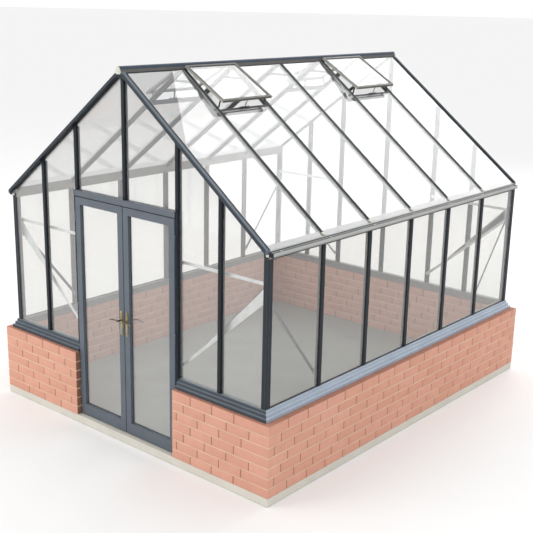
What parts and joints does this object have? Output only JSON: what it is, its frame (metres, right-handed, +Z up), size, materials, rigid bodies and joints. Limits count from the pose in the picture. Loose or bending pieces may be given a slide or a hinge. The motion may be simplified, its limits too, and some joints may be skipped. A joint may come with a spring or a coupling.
{
  "type": "greenhouse",
  "caption": "Glazed greenhouse on a low brick wall and concrete base, with a dark metal frame, pitched glass roof, double door in the front gable and open roof vents at the ridge.",
  "frame": {"origin": "centre of the concrete base's underside, at ground level", "axes": "+Z up; -Y faces out of the front gable, where the doors are; +X to the right seen from in front of the doors"},
  "size_m": [3.266, 3.944, 3.1721],
  "materials": {
    "concrete": "fine cast concrete, slightly mottled",
    "brick": "smooth salmon brick with pale mortar joints",
    "sill_frame": "satin blue-grey powder coat",
    "silver_frame": "satin silver-blue powder coat",
    "mortar": "sandy pale mortar",
    "rubber": "black glazing seals",
    "cream_plastic": "cream end caps",
    "dark_frame": "satin anthracite powder coat",
    "slate_frame": "satin slate grey powder coat",
    "bare_metal": "mill finish flat bar",
    "brass": "brushed antique brass",
    "glass": "clear horticultural glass"
  },
  "bodies": {
    "root": {"concrete_base": "concrete", "brick_wall_left": "brick", "brick_wall_right": "brick", "brick_wall_back": "brick", "brick_wall_front_left": "brick", "brick_wall_front_right": "brick", "sill_back": "sill_frame", "sill_front_left": "sill_frame", "sill_front_right": "sill_frame", "sill_left": "silver_frame", "sill_right": "silver_frame", "gutter_left": "silver_frame", "gutter_right": "silver_frame", "corner_post_front_left": "dark_frame", "corner_post_front_right": "dark_frame", "corner_post_back_left": "dark_frame", "corner_post_back_right": "dark_frame", "side_frame_left": "dark_frame", "side_frame_right": "dark_frame", "ridge_beam": "slate_frame", "roof_truss_1": "dark_frame", "roof_truss_2": "dark_frame", "roof_truss_3": "dark_frame", "roof_truss_4": "dark_frame", "roof_truss_5": "dark_frame", "gable_frame_front": "dark_frame", "gable_frame_back": "dark_frame", "door_head": "slate_frame", "corner_brace_front_left": "bare_metal", "corner_brace_front_right": "bare_metal", "corner_brace_back_left": "bare_metal", "corner_brace_back_right": "bare_metal", "glass_left": "glass", "glass_right": "glass", "glass_back": "glass", "glass_front_left": "glass", "glass_front_right": "glass", "glass_front_top": "glass", "roof_glass_left": "glass", "roof_glass_right": "glass", "vent_sill_left_front": "dark_frame", "vent_sill_left_back": "dark_frame", "vent_sill_right_front": "dark_frame", "vent_sill_right_back": "dark_frame", "roof_vent_left_front": "slate_frame", "roof_vent_left_back": "slate_frame", "roof_vent_right_front": "slate_frame", "roof_vent_right_back": "slate_frame"},
    "door_left": {"door_leaf_left": "slate_frame", "door_glass_left": "glass", "door_plates_left": "brass"},
    "door_right": {"door_leaf_right": "slate_frame", "door_glass_right": "glass", "door_plates_right": "brass"},
    "lever_left": {"door_lever_left": "brass"},
    "lever_right": {"door_lever_right": "brass"}
  },
  "joints": [
    {"name": "door_left_swing", "type": "hinge", "parent": "root", "child": "door_left", "pos_m": [-0.601, -1.924, 1.0675], "axis": [0, 0, -1], "range_deg": [0, 90]},
    {"name": "door_right_swing", "type": "hinge", "parent": "root", "child": "door_right", "pos_m": [0.601, -1.924, 1.0675], "axis": [0, 0, 1], "range_deg": [0, 90]},
    {"name": "lever_left_turn", "type": "hinge", "parent": "door_left", "child": "lever_left", "pos_m": [-0.0345, -1.904, 1.09], "axis": [0, -1, 0], "range_deg": [0, 40], "stiffness_Nm_per_rad": 1.5, "springref_deg": -20.05},
    {"name": "lever_right_turn", "type": "hinge", "parent": "door_right", "child": "lever_right", "pos_m": [0.0345, -1.904, 1.09], "axis": [0, 1, 0], "range_deg": [0, 40], "stiffness_Nm_per_rad": 1.5, "springref_deg": -20.05}
  ]
}
